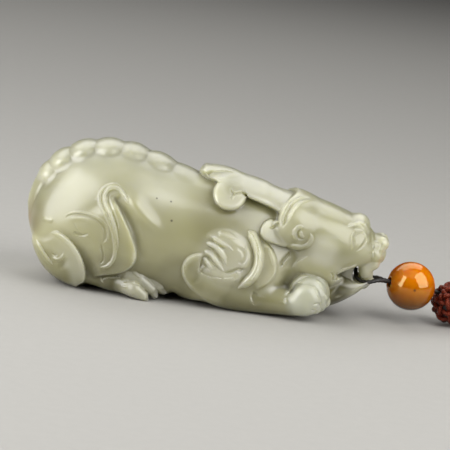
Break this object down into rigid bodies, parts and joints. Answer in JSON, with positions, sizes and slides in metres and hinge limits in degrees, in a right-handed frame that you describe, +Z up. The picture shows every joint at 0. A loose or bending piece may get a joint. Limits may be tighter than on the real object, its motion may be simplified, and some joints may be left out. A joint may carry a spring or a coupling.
{
  "type": "jade pixiu carving",
  "caption": "Palm-size jade pixiu crouching on its belly, with wing, comma tail, laid-back horn and open mouth, strung on a black cord with an amber bead and a knotted ball.",
  "frame": {"origin": "middle of the carving's flat underside, at the level it stands on", "axes": "+X towards the nose, +Y to the animal's left, +Z up"},
  "size_m": [0.0909, 0.0276, 0.028],
  "materials": {
    "jade": "polished",
    "cord": "matte",
    "amber": "polished",
    "knotted_cord": "satin"
  },
  "bodies": {
    "root": {"jade_pixiu": "jade", "lanyard_cord": "cord", "amber_bead": "amber", "knot_bead": "knotted_cord"}
  },
  "joints": []
}
